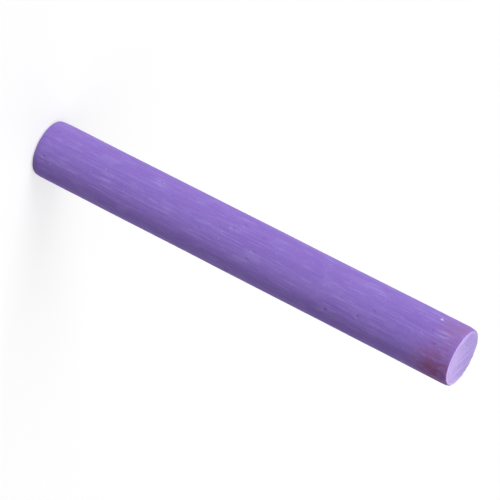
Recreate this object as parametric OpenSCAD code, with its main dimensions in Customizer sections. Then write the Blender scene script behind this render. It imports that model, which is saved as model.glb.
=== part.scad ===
// Stick of board chalk, extruded and cut to length.
//
// The stick is one solid piece: chalk, pigment and binder pressed through a
// round die while damp, cut square at both ends and dried. The die makes the
// side a true cylinder, with no taper. The knife leaves two flat faces, and
// handling soon wears their sharp rims to a small round.
//
// It stands on one cut face. +Z runs along the stick, and the origin is the
// middle of the face that it stands on. All sizes are in millimetres.

/* [Stick] */
// Diameter of the side, as the die makes it
stick_d = 10; // [8:0.5:15]
// Length from one cut face to the other
stick_l = 80; // [50:1:120]

/* [Cut ends] */
// Radius that wear has put on the rim of each cut face
rim_r = 0.4; // [0.1:0.1:2]

/* [Hidden] */

// Facets of the preview's circles
$fn = 96;
// Dusty violet of the pigment
violet = [0.58, 0.49, 0.79];

// Radius of the straight side
side_r = stick_d / 2;
// Radius of the flat that each rim leaves on its cut face
face_r = side_r - rim_r;
// Length of the straight side, between the two rims
side_l = stick_l - 2 * rim_r;

// Half of the lengthwise section, on the right of the axis.
// Each rim is a circle that is tangent to the side and to the cut face.
module half_section() {
    // from cut face to cut face
    square([face_r, stick_l]);
    // out to the straight side
    translate([0, rim_r])
        square([side_r, side_l]);
    // lower and upper rim
    for (height = [rim_r, stick_l - rim_r])
        translate([face_r, height])
            circle(r = rim_r);
}

module chalk_stick() {
    color(violet)
        rotate_extrude()
            half_section();
}

chalk_stick();
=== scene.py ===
# %% [markdown]
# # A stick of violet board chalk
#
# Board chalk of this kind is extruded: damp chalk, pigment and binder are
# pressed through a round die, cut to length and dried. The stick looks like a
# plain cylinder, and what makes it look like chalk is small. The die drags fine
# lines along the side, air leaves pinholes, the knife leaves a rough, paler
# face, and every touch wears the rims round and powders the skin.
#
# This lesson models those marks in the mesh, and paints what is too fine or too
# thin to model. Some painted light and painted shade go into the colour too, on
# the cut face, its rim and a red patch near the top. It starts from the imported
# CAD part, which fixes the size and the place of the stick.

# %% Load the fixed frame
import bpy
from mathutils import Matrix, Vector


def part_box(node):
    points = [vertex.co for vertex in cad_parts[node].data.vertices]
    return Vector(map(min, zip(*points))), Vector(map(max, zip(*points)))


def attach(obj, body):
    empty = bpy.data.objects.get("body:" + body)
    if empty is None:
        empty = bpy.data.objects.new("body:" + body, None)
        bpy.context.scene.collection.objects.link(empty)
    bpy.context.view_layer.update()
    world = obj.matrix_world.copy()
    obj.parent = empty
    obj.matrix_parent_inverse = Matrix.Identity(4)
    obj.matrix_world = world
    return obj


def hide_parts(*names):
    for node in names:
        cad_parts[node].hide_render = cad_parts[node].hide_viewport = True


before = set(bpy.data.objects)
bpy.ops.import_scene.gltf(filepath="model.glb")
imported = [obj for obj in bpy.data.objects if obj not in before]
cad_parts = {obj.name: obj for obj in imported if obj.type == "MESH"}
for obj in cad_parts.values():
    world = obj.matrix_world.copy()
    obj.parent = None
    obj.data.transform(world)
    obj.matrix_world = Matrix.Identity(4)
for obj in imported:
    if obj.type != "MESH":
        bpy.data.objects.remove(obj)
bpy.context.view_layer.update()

# %% [markdown]
# ## The size of the stick
#
# Every size below hangs on the three values that are read here, so the stick
# still fits if the CAD part changes. Blender counts in metres and a chalk maker
# in millimetres, so one value turns the second into the first.

# %% Read the sizes from the frame
import math

import bpy
from mathutils import Quaternion, Vector

MM = 0.001

cad_low, cad_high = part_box("chalk_stick")
LENGTH = cad_high.z - cad_low.z
RADIUS = (cad_high.x - cad_low.x) / 2
MIDDLE = (cad_low.z + cad_high.z) / 2
print(f"stick: {2 * RADIUS / MM:.1f} mm across, {LENGTH / MM:.1f} mm long")

# %% [markdown]
# ## Selecting in code
#
# In the window a modeller clicks on edges and faces. A script has no mouse, so
# it picks them by where they are. An operator acts on everything that is
# selected, so each pick starts by clearing the last one. The helper below takes
# a test, such as "do all its corners lie at this height", and selects the parts
# of the mesh that pass it.

# %% A helper that selects by place
def pick(piece, kind, wanted):
    """Opens a piece in edit mode, selects the edges or faces that pass, and counts them."""
    bpy.ops.object.select_all(action="DESELECT")
    piece.select_set(True)
    bpy.context.view_layer.objects.active = piece
    bpy.ops.object.mode_set(mode="EDIT")
    bpy.ops.mesh.select_mode(type=kind)
    bpy.ops.mesh.select_all(action="DESELECT")
    bpy.ops.object.mode_set(mode="OBJECT")
    corners = [vertex.co for vertex in piece.data.vertices]
    parts = piece.data.edges if kind == "EDGE" else piece.data.polygons
    chosen = [wanted([corners[i] for i in part.vertices]) for part in parts]
    parts.foreach_set("select", chosen)
    bpy.ops.object.mode_set(mode="EDIT")
    return sum(chosen)


# %% Two measures for those tests
TOUCH = 0.005 * MM


def level_at(corners, height):
    """True if every corner lies at one height."""
    return all(abs(corner.z - height) < TOUCH for corner in corners)


def rise(corners):
    """How far a part of the mesh reaches along the stick."""
    heights = [corner.z for corner in corners]
    return max(heights) - min(heights)


# %% [markdown]
# ## The bar
#
# The real stick starts as a round bar, and so does this one. The cylinder is a
# start only: its side has one long face for each step round the die, and such a
# face can't carry any detail along its length. It gets no UV map, because every
# pattern below is solid and reads only the place in space.

# %% Start from a cylinder
# A number that four divides evenly, for the grids on the cut faces
STEPS_ROUND = 200

bpy.ops.object.select_all(action="DESELECT")
bpy.ops.mesh.primitive_cylinder_add(
    vertices=STEPS_ROUND, radius=RADIUS, depth=LENGTH, location=(0, 0, MIDDLE),
    calc_uvs=False)
stick = bpy.context.object
stick.name = "stick"
bpy.ops.object.transform_apply(location=True)
print(f"{STEPS_ROUND} faces round the side, {math.tau * RADIUS / STEPS_ROUND / MM:.2f} mm wide")

# %% [markdown]
# ## Worn rims
#
# The knife leaves a sharp rim, and chalk is too soft to keep one. A bevel with
# several segments gives the small round that wear leaves. It comes before the
# side is divided, while each rim is still a single ring of edges.

# %% Bevel the two rims
RIM = 0.4 * MM
RIM_SEGMENTS = 5
ENDS = (cad_low.z, cad_high.z)

for end in ENDS:
    pick(stick, "EDGE", lambda corners: level_at(corners, end))
    bpy.ops.mesh.bevel(offset=RIM, segments=RIM_SEGMENTS, profile=0.5, affect="EDGES")
    bpy.ops.object.mode_set(mode="OBJECT")
print(f"both rims rounded to {RIM / MM:.1f} mm")

# %% [markdown]
# ## Rings along the side
#
# Subdividing only the long edges cuts the side into rings and leaves the rims
# alone. One pass makes at most a hundred cuts, so a coarse pass is followed by
# a fine one. The side ends up with nearly square faces, which carry a groove or
# a pit equally well in every direction.

# %% Divide the side into rings
CUTS = 19
SIDE = LENGTH - 2 * RIM

for shortest in (SIDE / 2, SIDE / 2 / (CUTS + 1)):
    pick(stick, "EDGE", lambda corners: rise(corners) > shortest)
    bpy.ops.mesh.subdivide(number_cuts=CUTS)
    bpy.ops.object.mode_set(mode="OBJECT")
print(f"{(CUTS + 1) ** 2} rings, {SIDE / (CUTS + 1) ** 2 / MM:.2f} mm each")

# %% [markdown]
# ## The cut faces
#
# Each end is still one face with two hundred corners. Insets alone would fill
# it with rings that crowd together at the centre. A grid fill spans a ring of
# edges with square faces of nearly one size, so the knife marks that come later
# look the same all over the face. The grid has four corners, where its faces are
# pinched, so two narrow insets first keep those away from the worn rim.

# %% Inset a border at both ends
BORDER = 0.15 * MM
BORDER_RINGS = 2

found = pick(stick, "FACE", lambda corners: len(corners) == STEPS_ROUND)
for _ in range(BORDER_RINGS):
    bpy.ops.mesh.inset(thickness=BORDER, use_individual=True)
bpy.ops.mesh.delete(type="ONLY_FACE")
bpy.ops.object.mode_set(mode="OBJECT")
grid_radius = RADIUS - RIM - BORDER_RINGS * BORDER
print(f"{found} ends opened, {2 * grid_radius / MM:.1f} mm across inside their borders")

# %% Fill both ends with a grid
for end in ENDS:
    found = pick(stick, "EDGE", lambda corners: level_at(corners, end) and all(
        corner.xy.length < grid_radius + TOUCH for corner in corners))
    bpy.ops.mesh.fill_grid(span=found // 4, offset=0)
    bpy.ops.object.mode_set(mode="OBJECT")
print(f"{len(stick.data.polygons)} faces in all")

# %% [markdown]
# ## Areas
#
# The marks differ from place to place: the die only ever touched the side, and
# the knife only the ends. A vertex group names each area once, so that a
# modifier can keep to it. Smoothing the group's weights lets a mark fade out at
# the border, where it would otherwise end in a step.

# %% A helper that names an area
FADE_PASSES = 3


def name_area(name, wanted):
    """Gathers the faces that pass the test in a vertex group with a soft border."""
    found = pick(stick, "FACE", wanted)
    group = stick.vertex_groups.new(name=name)
    stick.vertex_groups.active_index = group.index
    bpy.ops.object.vertex_group_assign()
    bpy.ops.mesh.select_all(action="SELECT")
    bpy.ops.object.vertex_group_smooth(factor=0.5, repeat=FADE_PASSES)
    bpy.ops.object.mode_set(mode="OBJECT")
    print(f"{name}: {found} faces")


# %% Where each area lies
RIM_REACH = 2 * RIM
SCUFFS_TOP = cad_high.z - 1 * MM
SCUFFS_FOOT = cad_high.z - 5 * MM
SCUFFS_BACK = -0.8 * RADIUS


def to_end(corner):
    """How far a corner is from the nearer end, along the stick."""
    return LENGTH / 2 - abs(corner.z - MIDDLE)


def on_the_side(corners):
    """True between the two rims."""
    return all(to_end(c) > RIM for c in corners)


def on_a_cut_end(corners):
    """True on the face and the rim of either end."""
    return all(to_end(c) < RIM + TOUCH for c in corners)


def near_a_rim(corners):
    """True within a short way of a rim, on the side and on the cut face."""
    return all(to_end(c) < RIM_REACH and c.xy.length > RADIUS - RIM_REACH for c in corners)


def scuffed(corners):
    """True near the top of the front, where another stick has rubbed."""
    return all(c.y < SCUFFS_BACK and SCUFFS_FOOT < c.z < SCUFFS_TOP for c in corners)


# %% Name the areas
name_area("side", on_the_side)
name_area("cut_ends", on_a_cut_end)
name_area("rims", near_a_rim)
name_area("scuffed", scuffed)

# %% [markdown]
# ## Relief
#
# Each mark is pressed into the mesh by a Displace modifier with a procedural
# texture, and then applied. The texture is solid: it fills space, and the
# surface shows a slice of it, as a real stick shows a slice of its own bubbles
# and grains. An empty sets the texture's scale. With the empty stretched along
# the stick, the same texture turns into lines that run lengthwise.
#
# A mid level of 1 only ever presses inwards, so the stick never outgrows its
# true size. It ends up less than a tenth of a millimetre smaller on each side.

# %% A helper that makes a solid texture
def solid_texture(name, kind, ramp):
    """Makes a texture whose marks lie about one unit apart.

    ramp gives the texture's value where a mark is deepest and where it ends.
    """
    texture = bpy.data.textures.new(name, kind)
    texture.noise_scale = 1
    if ramp:
        texture.use_color_ramp = True
        texture.color_ramp.interpolation = "EASE"
        deepest, outside = texture.color_ramp.elements
        deepest.position, outside.position = ramp
        deepest.color = (0, 0, 0, 1)
        outside.color = (1, 1, 1, 1)
    return texture


# %% A helper that presses marks into the surface
def press(name, kind, spacing, depth, area="", ramp=None, turn=0):
    """Presses a solid texture into the stick and applies it.

    spacing is how far apart the marks are along X, Y and Z, and depth how far
    the deepest go in, all in millimetres. turn swings X and Y round the stick.
    """
    gauge = bpy.data.objects.new(f"{name}_gauge", None)
    bpy.context.scene.collection.objects.link(gauge)
    gauge.scale = [gap * MM for gap in spacing]
    gauge.rotation_euler.z = turn
    modifier = stick.modifiers.new(name, "DISPLACE")
    modifier.texture = solid_texture(name, kind, ramp)
    modifier.texture_coords = "OBJECT"
    modifier.texture_coords_object = gauge
    modifier.vertex_group = area
    modifier.mid_level = 1
    modifier.strength = depth * MM
    before = [vertex.co.copy() for vertex in stick.data.vertices]
    bpy.context.view_layer.update()
    bpy.context.view_layer.objects.active = stick
    bpy.ops.object.modifier_apply(modifier=name)
    bpy.data.objects.remove(gauge)
    furthest = max((a - b.co).length for a, b in zip(before, stick.data.vertices))
    print(f"{name}: pressed in by up to {furthest / MM:.3f} mm")


# %% [markdown]
# ## Large marks first
#
# A mark is pressed in square to the surface that it finds. So the wide ones come
# first, while the skin is smooth, and the fine ones ride on them.
#
# Damp chalk never leaves the die perfectly round, and a soft, wide noise gives
# the slow unevenness that the hand feels. Handling wears the rims away by
# uneven amounts, and where a rim met something hard, it lost a crumb or two.

# %% Press in the unevenness, the wear and the nicks
press("unevenness", "CLOUDS", (7, 7, 16), 0.08)
press("rim_wear", "CLOUDS", (0.9, 0.9, 0.9), 0.10, "rims")
press("nicks", "VORONOI", (3, 3, 3), 0.13, "rims", ramp=(0.05, 0.2))

# %% [markdown]
# ## Pinholes
#
# Air bubbles are small, scattered all through the stick, and drawn out a little
# by the die. A Voronoi texture measures the distance to scattered points, so a
# ramp that ends close to those points leaves exactly such bubbles. Few of them
# happen to lie at the surface, and each is cut at another height, which gives
# holes of all sizes.

# %% Press in the pinholes
press("pinholes", "VORONOI", (2, 2, 2.8), 0.15, ramp=(0.03, 0.14))

# %% [markdown]
# ## Lines
#
# The die's own scratches draw lines that run nearly the whole length, and hard
# grains that stick in it for a moment tear shorter ones. The knife leaves lines
# of its own, which run its way across both faces. The youngest lines are short
# scuffs, where another stick has rubbed near the top.

# %% Press in the lines
KNIFE_TURN = math.radians(-50)

press("die_lines", "CLOUDS", (0.55, 0.55, 70), 0.025, "side")
press("torn_lines", "CLOUDS", (0.5, 0.5, 9), 0.03, "side", ramp=(0.28, 0.42))
press("knife_lines", "CLOUDS", (6, 0.6, 0.6), 0.06, "cut_ends", turn=KNIFE_TURN)
press("scuffs", "CLOUDS", (0.45, 0.45, 3), 0.05, "scuffed", ramp=(0.30, 0.45))

# %% [markdown]
# ## Grain
#
# Pressed powder has a fine grain, smoothed by the die along the side and torn
# open by the knife on the faces. The real grains are finer than the faces of
# the mesh, so these are the clumps that they form. They come last, over
# everything else.

# %% Press in the grain
press("skin_grain", "CLOUDS", (0.5, 0.5, 0.6), 0.03)
press("knife_grain", "CLOUDS", (0.7, 0.7, 0.7), 0.05, "cut_ends")

# %% [markdown]
# ## A last touch on the rims
#
# Fingers have rubbed the sharpest crumbs off the rims. A light Smooth modifier
# does the same: it draws each corner of the mesh towards its neighbours, and the
# vertex group keeps it off the rest of the stick.

# %% Rub the rims
rub = stick.modifiers.new("rub", "SMOOTH")
rub.vertex_group = "rims"
rub.factor = 0.5
rub.iterations = 2
bpy.ops.object.modifier_apply(modifier=rub.name)
print(f"{len(stick.modifiers)} modifiers left on the stick")

# %% [markdown]
# ## Closing the mesh
#
# The grids share their outer corners with the borders, and merging doubles makes
# sure that no seam is left open. Recalculating the normals turns every face
# outwards. Smooth shading by angle blends the small faces into one skin and
# keeps only real breaks sharp, such as the wall of a nick.

# %% Merge, turn outwards and shade
SHARPEST_BLEND = math.radians(40)
DOUBLES = 0.001 * MM

bpy.ops.object.mode_set(mode="EDIT")
bpy.ops.mesh.select_all(action="SELECT")
bpy.ops.mesh.remove_doubles(threshold=DOUBLES)
bpy.ops.mesh.normals_make_consistent(inside=False)
bpy.ops.object.mode_set(mode="OBJECT")
bpy.ops.object.shade_smooth_by_angle(angle=SHARPEST_BLEND)
triangles = sum(len(face.vertices) - 2 for face in stick.data.polygons)
print(f"{stick.name}: {triangles} triangles")

# %% [markdown]
# ## The material
#
# Pressed chalk is dry powder and pigment held by a little binder. Light enters
# between the grains and leaves in every direction, so to the eye it is dull from
# every side, with no shine to give its shape away. All that can be seen of the
# surface is colour: clean violet where the die has polished it, and paler where
# powder lies loose.
#
# The colours are written as hex codes, as a paint chart gives them. Blender
# works with linear light, so one function turns every code. A second one adds a
# node, sets its inputs and links them, and builds every material below.

# %% A helper for colours
def srgb(code):
    """Turns a hex colour into linear red, green, blue and alpha."""
    parts = [int(code[i:i + 2], 16) / 255 for i in (1, 3, 5)]
    linear = [p / 12.92 if p <= 0.04045 else ((p + 0.055) / 1.055) ** 2.4 for p in parts]
    return (*linear, 1.0)


VIOLET = "#8F72C9"
print(f"{VIOLET} in linear light:", [round(part, 3) for part in srgb(VIOLET)])

# %% A helper for nodes
def add(tree, kind, inputs=None, **settings):
    """Adds a node with its settings, and sets or links its inputs."""
    made = tree.nodes.new(kind)
    for name, value in settings.items():
        setattr(made, name, value)
    for socket, value in (inputs or {}).items():
        if isinstance(value, bpy.types.NodeSocket):
            tree.links.new(value, made.inputs[socket])
        else:
            made.inputs[socket].default_value = value
    return made


# %% [markdown]
# ## One place to measure from
#
# Object coordinates are fixed to the stick and come in metres, so a pattern made
# from them keeps its real size and never slides. They start at the foot of the
# stick. Its two ends are alike, so the middle is the handier place to measure
# from, and one subtraction moves the start there.

# %% Start the chalk material
chalk = bpy.data.materials.new("extruded violet chalk")
chalk.use_nodes = True
tree = chalk.node_tree
tree.nodes.clear()

place = add(tree, "ShaderNodeTexCoord").outputs["Object"]
centred = add(tree, "ShaderNodeVectorMath", {0: place, 1: (0, 0, MIDDLE)},
              operation="SUBTRACT").outputs["Vector"]
print(f"{chalk.name}: measured from {MIDDLE / MM:.0f} mm above the foot")

# %% [markdown]
# ## Patterns at their real size
#
# Every pattern below is one noise, stretched to the size of a real mark and
# cut off where the mark ends. A Mapping node of the Texture kind divides by its
# scale, so the scale is simply that size, written in millimetres: across the
# stick in X and Y, and along it in Z. The noise is solid, like the relief, so
# it has no seam on the side and runs on over the cut faces.
#
# A batch is never mixed quite evenly, and loose powder clings in clouds. The die
# draws long streaks, and shorter ones where a grain stuck in it. Strokes and
# blotches are how dust is rubbed on, and flecks are bits of chalk that took no
# pigment. The knife's lines are drawn half as wide again as the ones in its
# relief, because narrower ones don't show in such a pale colour.
#
# Grains of chalk are about 0.05 mm, too fine to show. The grain pattern is
# drawn about six times as coarse, as the clumps that the eye makes out.

# %% One pattern for each kind of mark
PATTERNS = {
    # name: size in mm in X, Y and Z, detail, where the mark starts and is full, strength
    "batch": ((4.0, 4.0, 11.0), 2.0, 0.35, 0.65, 0.45),
    "powder": ((1.7, 1.7, 4.0), 3.0, 0.50, 0.75, 0.26),
    "grain": ((0.32, 0.32, 0.40), 1.0, 0.30, 0.70, 0.35),
    "long_streaks": ((0.28, 0.28, 14.0), 1.0, 0.45, 0.75, 0.36),
    "short_streaks": ((0.30, 0.30, 4.0), 1.0, 0.58, 0.76, 0.35),
    "strokes": ((0.24, 0.24, 2.4), 0.0, 0.50, 0.64, 1.00),
    "blotches": ((0.80, 0.80, 1.40), 6.0, 0.20, 0.62, 1.00),
    "flecks": ((0.50, 0.50, 0.70), 2.0, 0.70, 0.76, 0.38),
    "knife_lines": ((6.0, 0.9, 0.9), 2.0, 0.38, 0.62, 0.75),
}
TURNS = {"knife_lines": KNIFE_TURN}

masks = {}
for name, (size, detail, start, full, strength) in PATTERNS.items():
    stretched = add(tree, "ShaderNodeMapping", {
        "Vector": centred,
        "Rotation": (0, 0, TURNS.get(name, 0)),
        "Scale": [side * MM for side in size],
    }, vector_type="TEXTURE")
    noise = add(tree, "ShaderNodeTexNoise", {
        "Vector": stretched.outputs["Vector"],
        "Scale": 1.0,
        "Detail": detail,
    })
    cut_off = add(tree, "ShaderNodeMapRange", {
        "Value": noise.outputs["Fac"],
        "From Min": start,
        "From Max": full,
        "To Max": strength,
    }, interpolation_type="SMOOTHSTEP")
    masks[name] = cut_off.outputs["Result"]
print("patterns:", ", ".join(masks))

# %% [markdown]
# ## Where things are
#
# The cut faces are paler than the side, because the knife tears the surface
# open and leaves loose powder. One half of the face is painted lighter and the
# other darker, as painted light and painted shade across the face. Where the
# face turns into the rim a pale ring is partly wear and partly a painted
# highlight, and on the shaded half it is painted darker, as painted shade. The
# rest of the rim keeps the side's violet.
#
# The rounded rim lies between the side and the face. Height less distance from
# the axis grows all the way across it, so one subtraction tells how far round
# the rim a point is. CORNER is its value at the rim's middle, and the paler
# colour begins a little nearer to the cut face than that.
#
# A vertex group could carry these regions too, but its border would follow the
# faces of the mesh. Worked out from where a point lies, the border can be as
# fine as the grain, which is added to the height to make it ragged.

# %% Measure where a point lies
RAGGED = 0.2 * MM

height = add(tree, "ShaderNodeSeparateXYZ", {"Vector": centred}).outputs["Z"]
from_middle = add(tree, "ShaderNodeMath", {0: height}, operation="ABSOLUTE").outputs[0]
ragged = add(tree, "ShaderNodeMath", {0: masks["grain"], 1: RAGGED, 2: from_middle},
             operation="MULTIPLY_ADD").outputs[0]
level = add(tree, "ShaderNodeVectorMath", {0: centred, 1: (1, 1, 0)}, operation="MULTIPLY")
from_axis = add(tree, "ShaderNodeVectorMath", {0: level.outputs["Vector"]},
                operation="LENGTH").outputs["Value"]
endwards = add(tree, "ShaderNodeMath", {0: ragged, 1: from_axis},
               operation="SUBTRACT").outputs[0]
# the halves of the cut face that get painted light and painted shade are split along this
# direction
knife_way = (math.cos(KNIFE_TURN), math.sin(KNIFE_TURN), 0)
along_knife = add(tree, "ShaderNodeVectorMath", {0: centred, 1: knife_way},
                  operation="DOT_PRODUCT").outputs["Value"]
print("the knife came out towards", [round(part, 2) for part in knife_way])

# %% Turn the measures into regions
END = LENGTH / 2
CORNER = END - RADIUS
REGIONS = {
    # name: what is measured, where the region starts and where it is full
    "cut_face": (endwards, CORNER + 0.4 * RIM, CORNER + 0.8 * RIM),
    "outer_ring": (from_axis, RADIUS - 2.0 * RIM, RADIUS - 1.2 * RIM),
    # the two halves of the cut face for painted light and painted shade
    "painted_light_half": (along_knife, -0.3 * RADIUS, RADIUS),
    "painted_shade_half": (along_knife, 0.3 * RADIUS, -RADIUS),
}
for name, (measure, start, full) in REGIONS.items():
    masks[name] = add(tree, "ShaderNodeMapRange", {
        "Value": measure,
        "From Min": start,
        "From Max": full,
    }, interpolation_type="SMOOTHSTEP").outputs["Result"]
print("regions:", ", ".join(REGIONS))

# %% Find where two of them meet
MEETINGS = {
    # a pale ring, partly wear and partly a painted highlight, and painted shade on its part away
    # from the light
    "worn_rim_and_painted_highlight": ("cut_face", "outer_ring"),
    "painted_shade_rim": ("worn_rim_and_painted_highlight", "painted_shade_half"),
    # painted light and painted shade on the two halves of the cut face
    "painted_light_face": ("cut_face", "painted_light_half"),
    "painted_shade_face": ("cut_face", "painted_shade_half"),
    "face_lines": ("cut_face", "knife_lines"),
}
for name, (one, other) in MEETINGS.items():
    masks[name] = add(tree, "ShaderNodeMath", {0: masks[one], 1: masks[other]},
                      operation="MULTIPLY").outputs[0]
print("meetings:", ", ".join(MEETINGS))

# %% [markdown]
# ## Rubs, dust and painted bounce light from the neighbours
#
# Sticks rub on each other in their box and leave their dust. Near its top end
# this one has a faint rose smudge, a deeper one of wine red, some short scuffs
# and one pale crumb, and there are more scuffs further down. The wine red one is
# partly red dust and partly painted light: red light bounced from a neighbour,
# with painted shade that makes it darker than the violet. Each is a soft spot
# on the side, broken up by a pattern so that it has no outline of its own.
#
# A strength below 1 leaves a thin, see-through dust. The crumb's is far above 1,
# and a layer can't be laid on more than fully, so the crumb is solid almost to
# its edge, which makes it look like a grain that sits on the skin.

# %% Place the rubs
RUBS = {
    # name: turn from the front, mm below the top, reach in mm, pattern, strength
    "rose_dust": (-47, 1.7, 4.6, "blotches", 0.48),
    # wine red: partly dust, partly painted red bounce light and painted shade
    "wine_dust_and_painted_bounce": (51, 2.2, 7.0, "blotches", 0.76),
    "scuffs": (-20, 2.9, 2.2, "strokes", 0.40),
    "lower_scuffs": (-50, 16.0, 3.0, "strokes", 0.35),
    "crumb": (-53, 4.9, 0.45, "grain", 5.00),
}
for name, (turn, below_top, reach, pattern, strength) in RUBS.items():
    angle = math.radians(turn)
    spot = (RADIUS * math.sin(angle), -RADIUS * math.cos(angle), END - below_top * MM)
    away = add(tree, "ShaderNodeVectorMath", {0: centred, 1: spot},
               operation="DISTANCE").outputs["Value"]
    fading = add(tree, "ShaderNodeMapRange", {
        "Value": away,
        "From Max": reach * MM,
        "To Min": strength,
        "To Max": 0.0,
    }, interpolation_type="SMOOTHSTEP").outputs["Result"]
    masks[name] = add(tree, "ShaderNodeMath", {0: fading, 1: masks[pattern]},
                      operation="MULTIPLY").outputs[0]
print("rubs:", ", ".join(RUBS))

# %% [markdown]
# ## Layers of colour
#
# The colour is built as a painter glazes: a base of clean violet, and one thin
# layer after another on top, each laid on as much as its mask says. First comes
# what was mixed into the paste, then what the die drew and the powder on it,
# then the dust of the neighbours, with painted red bounce light and painted
# shade in the wine red one, and then what the knife and the wear opened up,
# with painted light and painted shade on the cut face and its rim. Flecks come
# last, because they are solid bits that no dust hides.

# %% Lay the colours over each other
LAYERS = {
    # mask: tint
    "batch": "#997DCF",
    "grain": "#8568BF",
    "long_streaks": "#A48FD9",
    "powder": "#AC9BDC",
    "short_streaks": "#B3A1E4",
    "rose_dust": "#A6708C",
    # wine red: partly dust, partly painted red bounce light and painted shade
    "wine_dust_and_painted_bounce": "#934663",
    "scuffs": "#BCABEA",
    "lower_scuffs": "#B7A6E6",
    "crumb": "#E0D6F7",
    "cut_face": "#BBA8E4",
    "face_lines": "#A38CD3",
    # painted shade on the half of the cut face away from the light
    "painted_shade_face": "#AA97D5",
    # painted light on the half of the cut face towards the light
    "painted_light_face": "#C8B1EC",
    # pale ring: partly wear, partly a painted highlight where the rim catches the light
    "worn_rim_and_painted_highlight": "#D4BCF4",
    # painted shade on the part of the ring away from the light
    "painted_shade_rim": "#9F8CC9",
    "flecks": "#C9BBEC",
}
colour = srgb(VIOLET)
for name, tint in LAYERS.items():
    # a Mix node takes its share at input 0, colours at 6 and 7, and gives one at output 2
    colour = add(tree, "ShaderNodeMix", {0: masks[name], 6: colour, 7: srgb(tint)},
                 data_type="RGBA").outputs[2]
print(f"{len(LAYERS)} layers of colour over {VIOLET}")

# %% [markdown]
# ## The finish
#
# The eye reads a surface as chalk when it has no highlight and a fine, dry
# tooth. A high roughness with a low specular level takes the highlight away. The
# diffuse roughness flattens the shading, because rough grains send some light
# back to where it came from. Loose powder brightens a little where it is seen
# edge on, and a touch of sheen does that.
#
# The tooth is bump and not relief, because it is finer than the mesh. Real grit
# is about 0.05 mm. It is drawn at 0.22 mm, as coarse as it needs to be to show.

# %% Finish the chalk
GRIT = 0.22 * MM
TOOTH = 0.05 * MM

grit = add(tree, "ShaderNodeTexNoise", {
    "Vector": centred,
    "Scale": 1 / GRIT,
    "Detail": 2.0,
})
bump = add(tree, "ShaderNodeBump", {
    "Height": grit.outputs["Fac"],
    "Strength": 0.8,
    "Distance": TOOTH,
})
shader = add(tree, "ShaderNodeBsdfPrincipled", {
    "Base Color": colour,
    "Roughness": 0.95,
    "Diffuse Roughness": 0.5,
    "IOR": 1.5,
    "Specular IOR Level": 0.2,
    "Sheen Weight": 0.08,
    "Sheen Roughness": 0.5,
    "Sheen Tint": srgb("#E6DDF6"),
    "Normal": bump.outputs["Normal"],
})
add(tree, "ShaderNodeOutputMaterial", {"Surface": shader.outputs["BSDF"]})
stick.data.materials.clear()
stick.data.materials.append(chalk)
print(f"{chalk.name}: {len(tree.nodes)} nodes")

# %% [markdown]
# ## Handing the stick over
#
# The stick is the whole object, so it stands for the one CAD node, takes its
# finish from the one material slot and moves with the one body. The CAD node is
# hidden, and goes on carrying the collision.

# %% Hand the stick to the frame
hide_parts("chalk_stick")
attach(stick, "root")
print(f"{stick.name} stands for chalk_stick")

# %% [markdown]
# ## The backdrop
#
# A white backdrop can be had from strong light, but that would bleach the stick
# too. Light Path tells what kind of ray asks for a colour. Rays that show the
# backdrop, seen directly, mirrored or through glass, get plain white, and rays
# that carry light to the stick get a soft grey. So the background is white and
# the light on the stick stays at a plain level.
#
# The floor is pale paper. It keeps the shadow of the stick, and for the same
# rays a glow of its own lifts the rest of it to white.

# %% A helper that tells which rays show the backdrop
def shows_backdrop(tree):
    """Gives 1 for rays that show the backdrop, and 0 for rays that carry its light."""
    path = add(tree, "ShaderNodeLightPath")
    shown = path.outputs["Is Camera Ray"]
    for way in ("Is Glossy Ray", "Is Transmission Ray"):
        shown = add(tree, "ShaderNodeMath", {0: shown, 1: path.outputs[way]},
                    operation="MAXIMUM").outputs[0]
    return shown


# %% Lay the floor
FLOOR_WIDTH = 4.0
LIFT = 0.51
WHITE = srgb("#FFFFFF")

bpy.ops.object.select_all(action="DESELECT")
bpy.ops.mesh.primitive_plane_add(size=FLOOR_WIDTH, location=(0, 0, cad_low.z))
floor = bpy.context.object
floor.name = "floor"
paper = bpy.data.materials.new("matt white paper")
paper.use_nodes = True
tree = paper.node_tree
tree.nodes.clear()
sheet = add(tree, "ShaderNodeBsdfDiffuse", {"Color": srgb("#C0C0C0")})
glow = add(tree, "ShaderNodeEmission", {"Color": WHITE, "Strength": LIFT})
lifted = add(tree, "ShaderNodeAddShader", {0: sheet.outputs["BSDF"], 1: glow.outputs["Emission"]})
surface = add(tree, "ShaderNodeMixShader", {
    0: shows_backdrop(tree),
    1: sheet.outputs["BSDF"],
    2: lifted.outputs["Shader"],
})
add(tree, "ShaderNodeOutputMaterial", {"Surface": surface.outputs["Shader"]})
floor.data.materials.append(paper)
print(f"{floor.name}: {FLOOR_WIDTH:.0f} m wide, {paper.name}")

# %% Hang the backdrop
FILL = 0.16

studio = bpy.data.worlds.new("studio")
bpy.context.scene.world = studio
studio.use_nodes = True
tree = studio.node_tree
tree.nodes.clear()
fill = add(tree, "ShaderNodeBackground", {"Color": WHITE, "Strength": FILL})
white = add(tree, "ShaderNodeBackground", {"Color": WHITE, "Strength": 1.0})
surface = add(tree, "ShaderNodeMixShader", {
    0: shows_backdrop(tree),
    1: fill.outputs["Background"],
    2: white.outputs["Background"],
})
add(tree, "ShaderNodeOutputWorld", {"Surface": surface.outputs["Shader"]})
print(f"{studio.name}: the backdrop's own light is {FILL:.0%} of white")

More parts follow.
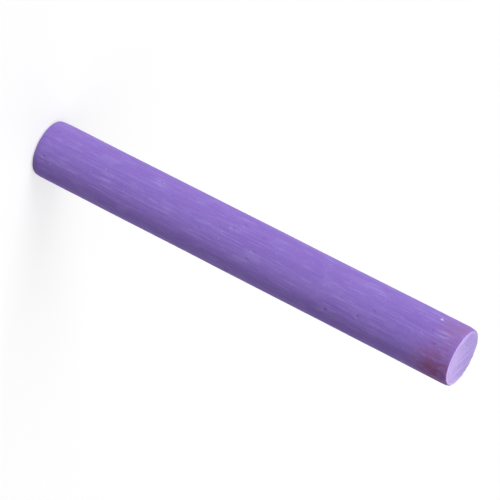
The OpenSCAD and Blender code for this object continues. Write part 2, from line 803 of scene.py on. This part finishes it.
# %% [markdown]
# ## The light
#
# A dull surface shows its form only by how the light falls on it, so one side
# has to be brighter. The key light stands at the front and to one side. A weaker
# one overhead brings out the cut face, and one from behind keeps the back from
# going dark. Each is a sun as wide as a soft box, so that the shadows have soft
# edges, and its size in the sky is given as an angle.
#
# A white face turned square to a sun of strength pi looks exactly white, so each
# strength is written as a share of that.

# %% Set up the lamps
LAMPS = {
    # name: the way to the lamp, its share of a white face's light, its width in degrees
    "key": ((-0.72, -0.69, 0.28), 0.68, 35),
    "top": ((0.00, -0.25, 1.00), 0.50, 50),
    "back": ((0.30, 0.92, 0.30), 0.40, 60),
}
for name, (direction, share, width) in LAMPS.items():
    data = bpy.data.lights.new(name, "SUN")
    data.energy = share * math.pi
    data.angle = math.radians(width)
    lamp = bpy.data.objects.new(name, data)
    bpy.context.scene.collection.objects.link(lamp)
    lamp.rotation_euler = Vector(direction).to_track_quat("Z", "Y").to_euler()
print(f"{len(LAMPS)} lamps")

# %% [markdown]
# ## The camera
#
# The stick is seen almost from the side, with its top end nearer, so that the
# cut face shows as a narrow ellipse. The camera is half a metre from that end,
# so the stick hardly seems to taper. It is rolled, so that the standing stick
# reaches across the frame, from its foot at the upper left down to its top.
#
# The focal length follows from the width that the frame takes in at the middle
# of the stick, because that width is the one to decide on.

# %% Place the camera
SIGHT_ANGLE = math.radians(72.5)
NEAR_DISTANCE = 505 * MM
ROLL = math.radians(117)
FRAME_WIDTH = 80 * MM
# Blender gives the sensor and the lens in millimetres
SENSOR_WIDTH = 36

top_face = Vector((0, 0, cad_high.z))
outwards = Vector((0, -math.sin(SIGHT_ANGLE), math.cos(SIGHT_ANGLE)))
camera = bpy.data.objects.new("camera", bpy.data.cameras.new("camera"))
bpy.context.scene.collection.objects.link(camera)
camera.location = top_face + outwards * NEAR_DISTANCE
to_middle = Vector((0, 0, MIDDLE)) - camera.location
camera.data.sensor_width = SENSOR_WIDTH
camera.data.lens = SENSOR_WIDTH * to_middle.length / FRAME_WIDTH
camera.rotation_mode = "QUATERNION"
camera.rotation_quaternion = (
    to_middle.to_track_quat("-Z", "Y") @ Quaternion((0, 0, 1), ROLL))
bpy.context.scene.camera = camera
bpy.context.scene.view_settings.view_transform = "Standard"
print(f"lens: {camera.data.lens:.0f} mm, {to_middle.length:.3f} m from the middle of the stick")
